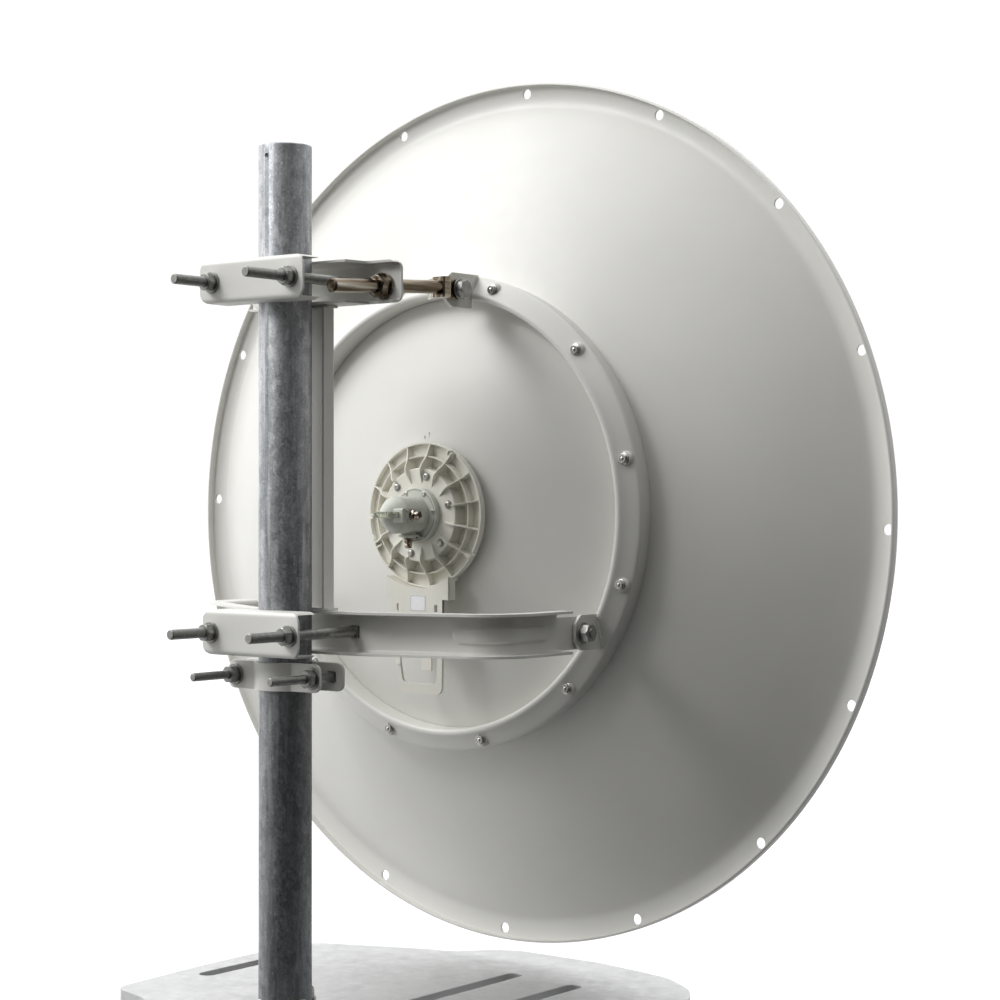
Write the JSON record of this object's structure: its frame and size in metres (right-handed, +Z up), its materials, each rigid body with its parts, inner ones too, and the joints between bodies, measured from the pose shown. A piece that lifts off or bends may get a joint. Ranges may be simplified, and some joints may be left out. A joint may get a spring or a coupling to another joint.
{
  "type": "parabolic dish antenna on pole stand",
  "caption": "White parabolic dish antenna on an adjustable bracket, clamped to a galvanised pole on a steel stand plate.",
  "frame": {"origin": "on the floor, on the axis of the pole", "axes": "+Z up along the pole, +Y the way the dish looks, +X to the right seen from behind the dish"},
  "size_m": [1.09, 0.782, 1.1345],
  "materials": {
    "white_paint": "smooth powder coat",
    "cream_plastic": "moulded, satin",
    "grey_casting": "painted casting, satin",
    "zinc": "dull zinc plate",
    "galvanised": "hot-dip galvanised, mottled",
    "nickel": "plated, warm reflections",
    "gilt": "plated",
    "tube": "drawn tube",
    "plate": "ground and scratched"
  },
  "bodies": {
    "stand": {"base_plate": "plate", "pole_flange": "galvanised", "pole": "galvanised", "support_clamp_back": "white_paint", "support_clamp_front": "white_paint", "support_bolt_left": "zinc", "support_bolt_right": "zinc"},
    "mount": {"yoke": "white_paint", "spine": "white_paint", "tray": "white_paint", "upper_clamp": "white_paint", "lower_clamp": "white_paint", "upper_bolt_left": "zinc", "upper_bolt_right": "zinc", "lower_bolt_left": "zinc", "lower_bolt_right": "zinc"},
    "dish": {"reflector": "white_paint", "mounting_ring": "white_paint", "top_lug": "white_paint", "left_lug": "white_paint", "right_lug": "white_paint", "left_pivot_bolt": "zinc", "right_pivot_bolt": "zinc", "rod_pin": "zinc", "hub_disc": "cream_plastic", "radio_holder": "cream_plastic", "adapter_flange": "grey_casting", "feed_adapter": "grey_casting", "feed_connector": "gilt", "lower_connector": "gilt", "feed_tube": "tube", "sub_reflector": "white_paint"},
    "rod_nuts": {"rod_nut_back": "nickel", "rod_nut_front": "nickel"},
    "rod": {"elevation_rod": "nickel", "rod_fork": "nickel"}
  },
  "joints": [
    {"name": "azimuth", "type": "hinge", "parent": "stand", "child": "mount", "pos_m": [0, 0, 0.4895], "axis": [0, 0, 1], "continuous": true},
    {"name": "elevation", "type": "hinge", "parent": "mount", "child": "dish", "pos_m": [0, 0.2415, 0.453], "axis": [1, 0, 0], "range_deg": [-5, 8]},
    {"name": "rod_swivel", "type": "hinge", "parent": "mount", "child": "rod_nuts", "pos_m": [0.09, 0.0698, 0.8475], "axis": [1, 0, 0], "range_deg": [-0.36, 0.57]},
    {"name": "rod_slide", "type": "slide", "parent": "rod_nuts", "child": "rod", "axis": [0, 0.9981, 0.0621], "range_m": [-0.0565, 0.0355]}
  ],
  "couplings": [
    {"joint": "rod_swivel", "follows": "elevation", "ratio": 0.07},
    {"joint": "rod_slide", "follows": "elevation", "m_per_rad": -0.4045}
  ]
}
